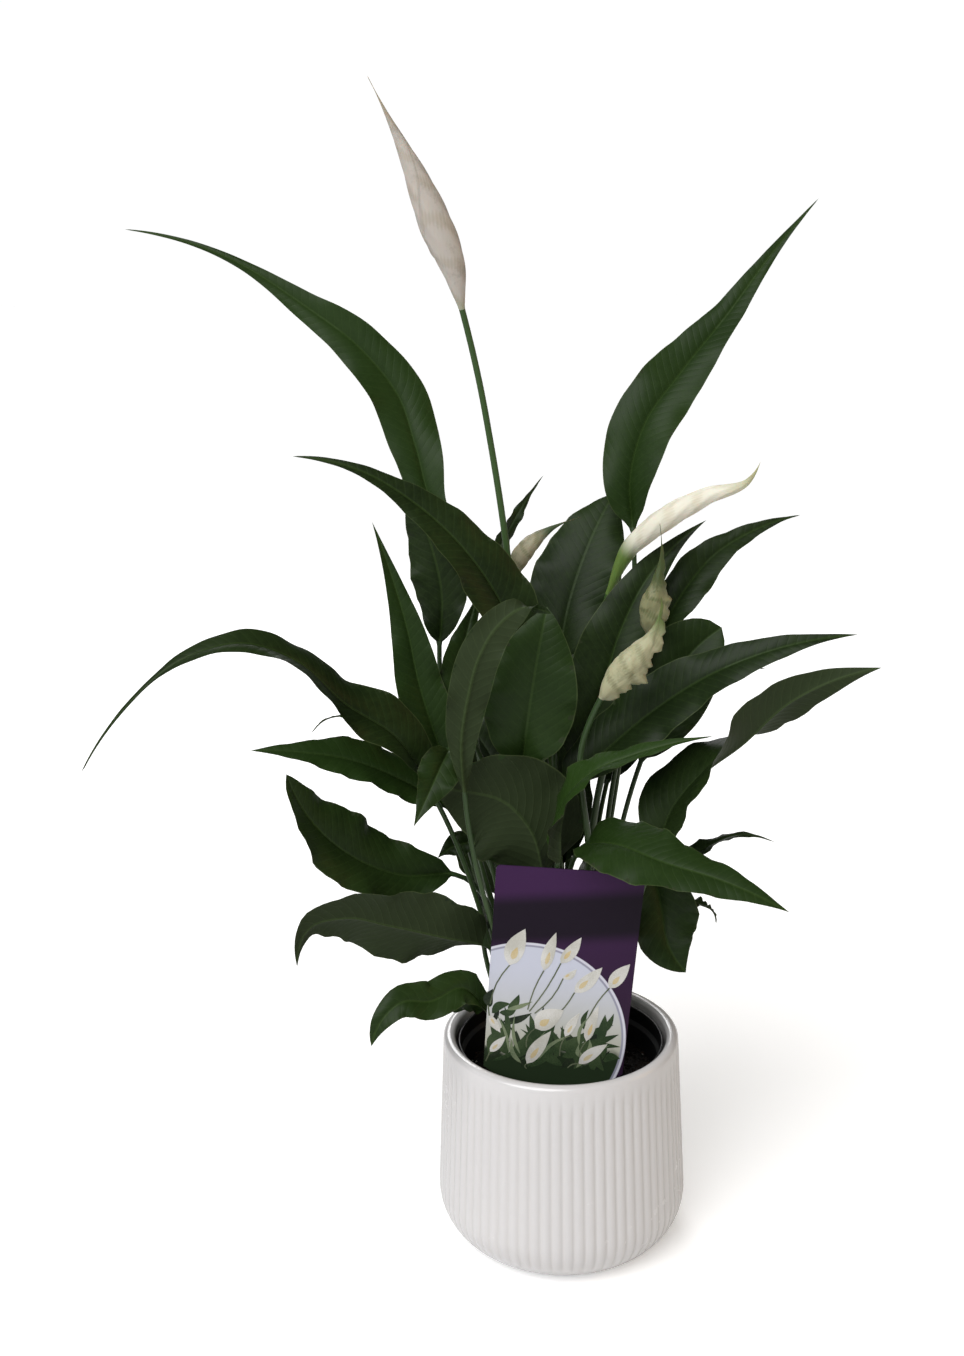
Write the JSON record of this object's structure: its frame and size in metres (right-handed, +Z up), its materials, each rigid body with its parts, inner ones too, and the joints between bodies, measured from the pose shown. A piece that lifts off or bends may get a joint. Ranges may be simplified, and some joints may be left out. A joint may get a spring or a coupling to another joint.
{
  "type": "potted peace lily",
  "caption": "Peace lily with arching dark green leaves and pale spathes, growing from soil in a nursery pot with a plant label, standing in a reeded white ceramic cover pot.",
  "frame": {"origin": "centre of the cover pot's flat foot, on the surface it stands on", "axes": "+Z up, -Y towards the front, +X to the viewer's right"},
  "size_m": [0.405, 0.2712, 0.645],
  "materials": {
    "white_glaze": "glossy off-white glaze over vertical reeds",
    "black_plastic": "satin black moulded plastic",
    "potting_soil": null,
    "label_card": null,
    "leaf_green": null,
    "stalk_green": null,
    "white_spathe": null,
    "bud_spathe": null,
    "faded_spathe": null
  },
  "bodies": {
    "root": {"cover_pot": "white_glaze", "nursery_pot": "black_plastic", "soil": "potting_soil", "plant_label": "label_card", "leaf_arching_left": "leaf_green", "leaf_back_left": "leaf_green", "leaf_back_low_left": "leaf_green", "leaf_back_low_right": "leaf_green", "leaf_back_middle": "leaf_green", "leaf_back_right": "leaf_green", "leaf_behind_label": "leaf_green", "leaf_behind_left": "leaf_green", "leaf_centre_broad": "leaf_green", "leaf_centre_crescent": "leaf_green", "leaf_centre_low": "leaf_green", "leaf_centre_rear_left": "leaf_green", "leaf_centre_right": "leaf_green", "leaf_curl_right": "leaf_green", "leaf_front_broad": "leaf_green", "leaf_front_curved": "leaf_green", "leaf_front_right": "leaf_green", "leaf_level_left": "leaf_green", "leaf_long_right": "leaf_green", "leaf_low_left": "leaf_green", "leaf_low_right": "leaf_green", "leaf_mid_left": "leaf_green", "leaf_mid_right": "leaf_green", "leaf_narrow_right": "leaf_green", "leaf_over_label": "leaf_green", "leaf_over_rim_left": "leaf_green", "leaf_rear_centre": "leaf_green", "leaf_rear_narrow": "leaf_green", "leaf_rear_right": "leaf_green", "leaf_rim_curl_left": "leaf_green", "leaf_rim_small_left": "leaf_green", "leaf_short_left": "leaf_green", "leaf_small_drooping": "leaf_green", "leaf_tall_left": "leaf_green", "leaf_tall_right": "leaf_green", "leaf_thin_left": "leaf_green", "leaf_thin_right": "leaf_green", "leaf_upright_left": "leaf_green", "stalk_bud": "stalk_green", "stalk_faded_lower": "stalk_green", "stalk_faded_upper": "stalk_green", "stalk_open": "stalk_green", "stalk_tall": "stalk_green", "spathe_bud": "bud_spathe", "spathe_faded_lower": "faded_spathe", "spathe_faded_upper": "faded_spathe", "spathe_open": "white_spathe", "spathe_tall": "white_spathe"}
  },
  "joints": []
}
